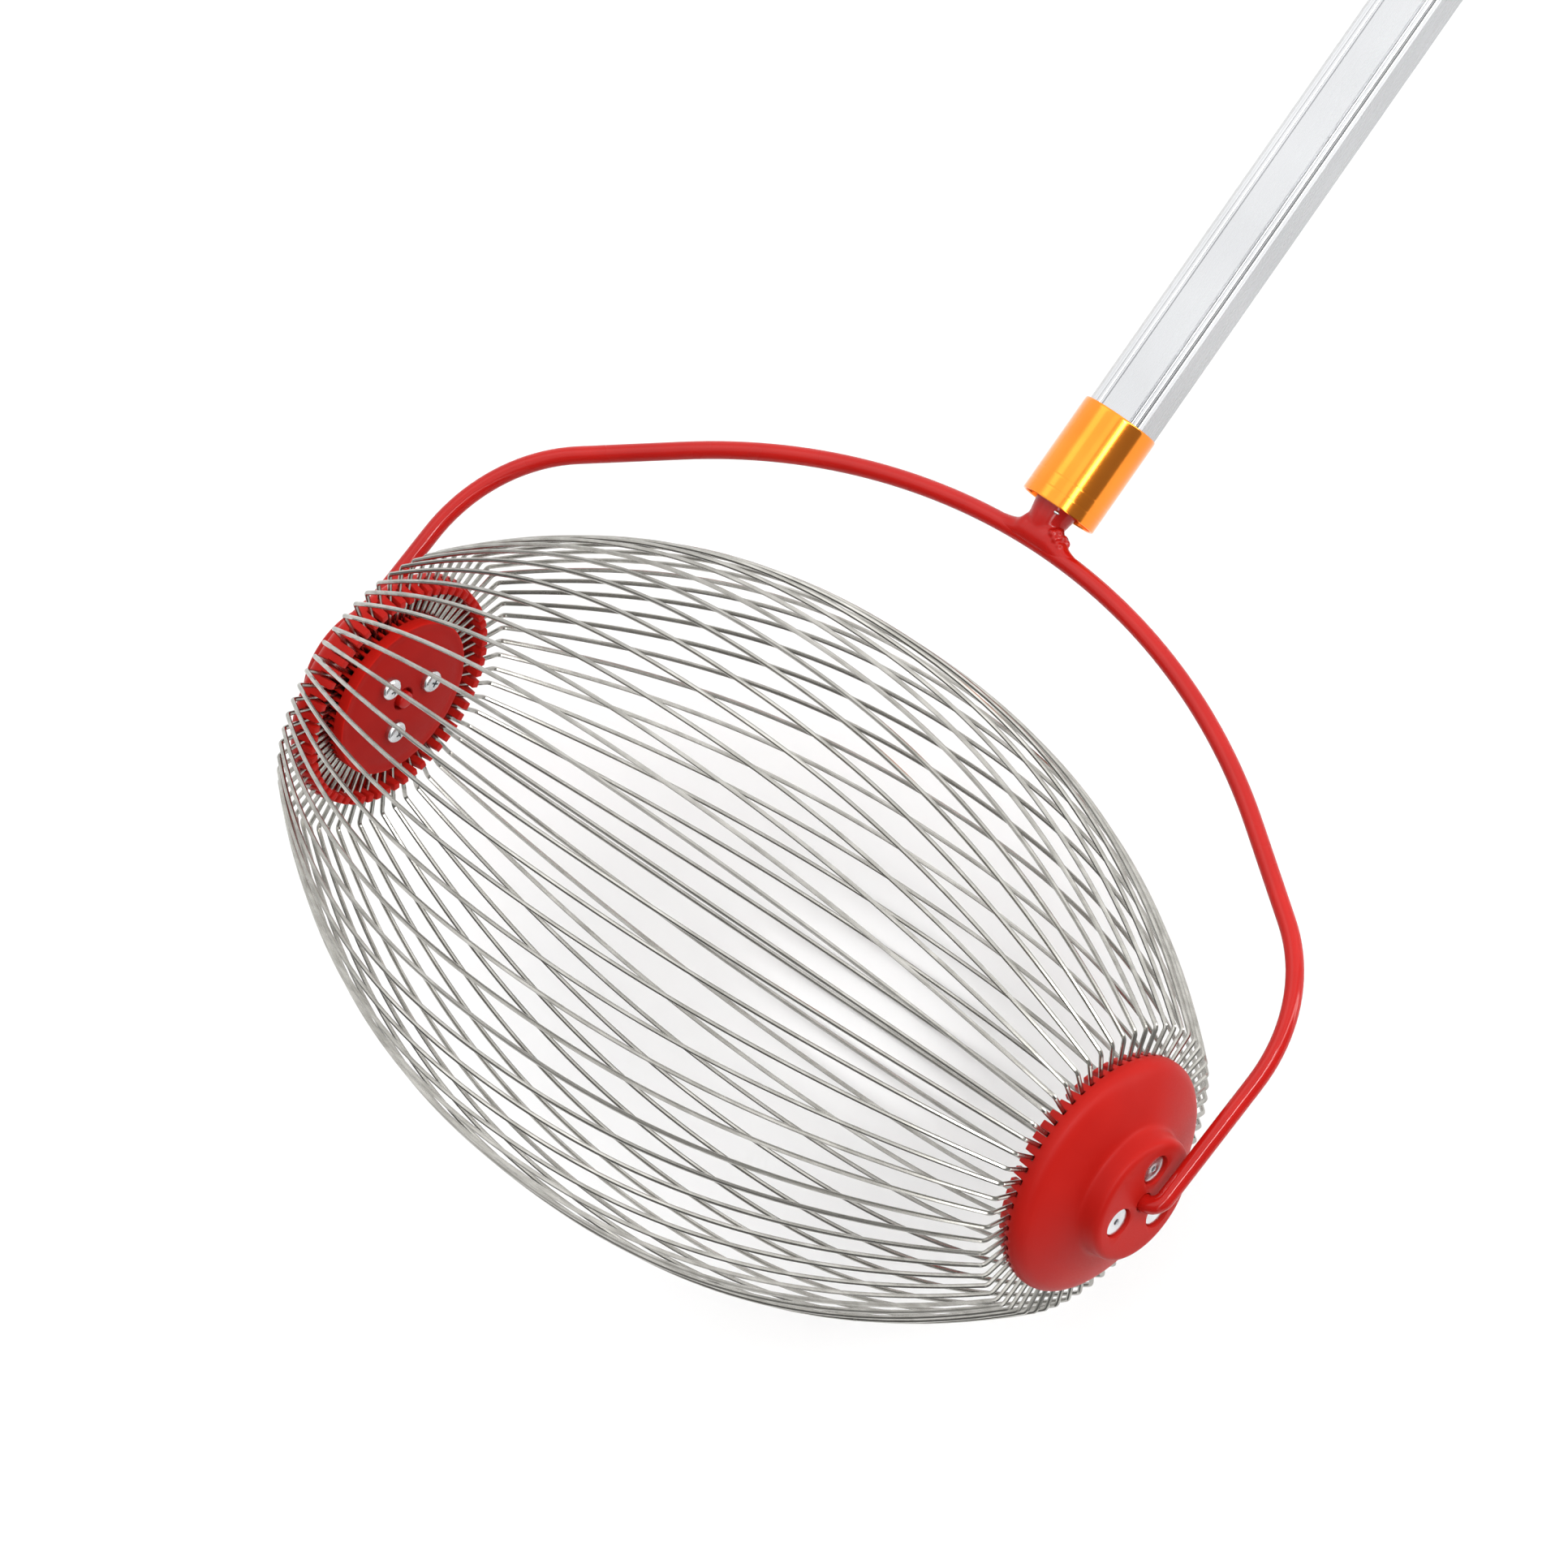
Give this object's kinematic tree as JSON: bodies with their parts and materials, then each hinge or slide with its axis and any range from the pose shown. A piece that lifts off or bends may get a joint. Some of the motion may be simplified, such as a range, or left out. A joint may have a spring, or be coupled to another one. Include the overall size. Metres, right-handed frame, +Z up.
{
  "type": "rolling nut gatherer",
  "caption": "Barrel of sprung wires between two toothed hubs that rolls in a bent rod yoke on a sectional pole and picks up nuts and fallen fruit.",
  "frame": {"origin": "on the floor, under the middle of the whole part's length and width, with the barrel and the end cap lying on the floor", "axes": "+X along the axle, +Y along the pole from the barrel towards the grip, +Z up"},
  "size_m": [0.4124, 1.4596, 0.2398],
  "materials": {
    "wire": "satin galvanised spring wire",
    "hub_cup": "satin red moulding",
    "hub_disc": "satin dull red moulding",
    "fasteners": "bright zinc",
    "yoke_paint": "gloss red paint",
    "collar_metal": "bright orange-gold anodised",
    "pole_metal": "satin extrusion",
    "plug_plastic": "matte",
    "grip_rubber": "matte",
    "cap_plastic": "matte"
  },
  "bodies": {
    "handle": {"yoke_rod": "yoke_paint", "yoke_stub": "yoke_paint", "lower_stud": "fasteners", "lower_collar": "collar_metal", "lower_insert": "plug_plastic", "lower_pole": "pole_metal", "stud_holder": "plug_plastic", "middle_stud": "fasteners", "middle_collar": "collar_metal", "upper_insert": "plug_plastic", "upper_pole": "pole_metal", "grip_sleeve": "grip_rubber", "end_cap": "cap_plastic"},
    "roller": {"left_outer_cup": "hub_cup", "right_outer_cup": "hub_cup", "left_clamp_disc": "hub_disc", "right_clamp_disc": "hub_disc", "clamp_screws": "fasteners", "round_nuts": "fasteners", "cage_wires_01": "wire", "cage_wires_02": "wire", "cage_wires_03": "wire", "cage_wires_04": "wire", "cage_wires_05": "wire", "cage_wires_06": "wire", "cage_wires_07": "wire", "cage_wires_08": "wire", "cage_wires_09": "wire", "cage_wires_10": "wire", "cage_wires_11": "wire", "cage_wires_12": "wire"}
  },
  "joints": [
    {"name": "roller_spin", "type": "hinge", "parent": "handle", "child": "roller", "pos_m": [0, -0.60991, 0.11988], "axis": [1, 0, 0], "continuous": true}
  ]
}
